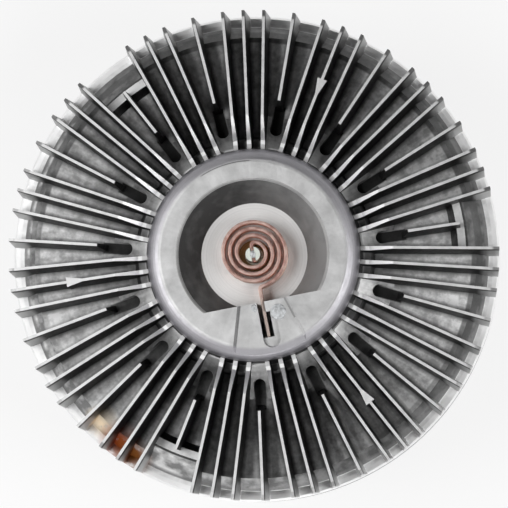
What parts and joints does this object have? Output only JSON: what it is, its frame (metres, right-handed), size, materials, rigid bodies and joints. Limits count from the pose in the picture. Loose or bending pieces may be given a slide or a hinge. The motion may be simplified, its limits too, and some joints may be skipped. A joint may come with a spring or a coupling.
{
  "type": "viscous fan clutch",
  "caption": "Round cast aluminium fan drive clutch with radial cooling fins, a bimetal coil in its hub and a flanged input shaft; it lets an engine fan slip or turn with air temperature.",
  "frame": {"origin": "centre of the rear face of the pump flange, on the axis of rotation", "axes": "+Z along the axis of rotation, from the pump flange to the coil; +Y through the middle fin of a group"},
  "size_m": [0.19, 0.19, 0.09],
  "materials": {
    "cover_casting": "die cast, lightly oxidised",
    "housing_casting": "die cast",
    "rotor_casting": "die cast and machined",
    "shaft_steel": "turned forging",
    "bearing_steel": "ground",
    "cage_steel": "pressed sheet",
    "spring_steel": "blackened",
    "plate_steel": "stamped sheet",
    "valve_steel": "turned",
    "bush_brass": "turned",
    "bimetal": "copper-faced bimetal strip",
    "zinc_screw": "zinc plated",
    "seal_rubber": "moulded"
  },
  "bodies": {
    "shaft": {"input_shaft": "shaft_steel", "clutch_rotor": "rotor_casting", "rotor_clip": "spring_steel", "bearing_inner_ring": "bearing_steel"},
    "housing": {"front_cover": "cover_casting", "rear_housing": "housing_casting", "cover_screws": "zinc_screw", "cover_seal_ring": "seal_rubber", "bimetal_coil": "bimetal", "valve_bush": "bush_brass", "valve_stop_pins": "valve_steel", "pump_plate": "plate_steel", "pump_plate_screws": "zinc_screw", "pump_wiper": "valve_steel", "bearing_outer_ring": "bearing_steel", "bearing_front_shield": "cage_steel", "bearing_rear_shield": "cage_steel", "bearing_clip": "spring_steel"},
    "ball_train": {"bearing_balls": "bearing_steel", "bearing_cage": "cage_steel"},
    "valve": {"valve_shaft": "valve_steel", "valve_arm": "plate_steel", "valve_shaft_seal": "seal_rubber"}
  },
  "joints": [
    {"name": "housing_spin", "type": "hinge", "parent": "shaft", "child": "housing", "pos_m": [0, 0, 0.0355], "axis": [0, 0, 1], "continuous": true},
    {"name": "ball_train_spin", "type": "hinge", "parent": "shaft", "child": "ball_train", "pos_m": [0, 0, 0.0355], "axis": [0, 0, 1], "continuous": true},
    {"name": "valve_turn", "type": "hinge", "parent": "housing", "child": "valve", "pos_m": [0, 0, 0.075], "axis": [0, 0, 1], "range_deg": [0, 30], "deforming": ["bimetal_coil"]}
  ],
  "couplings": [
    {"joint": "ball_train_spin", "follows": "housing_spin", "ratio": 0.6031}
  ]
}
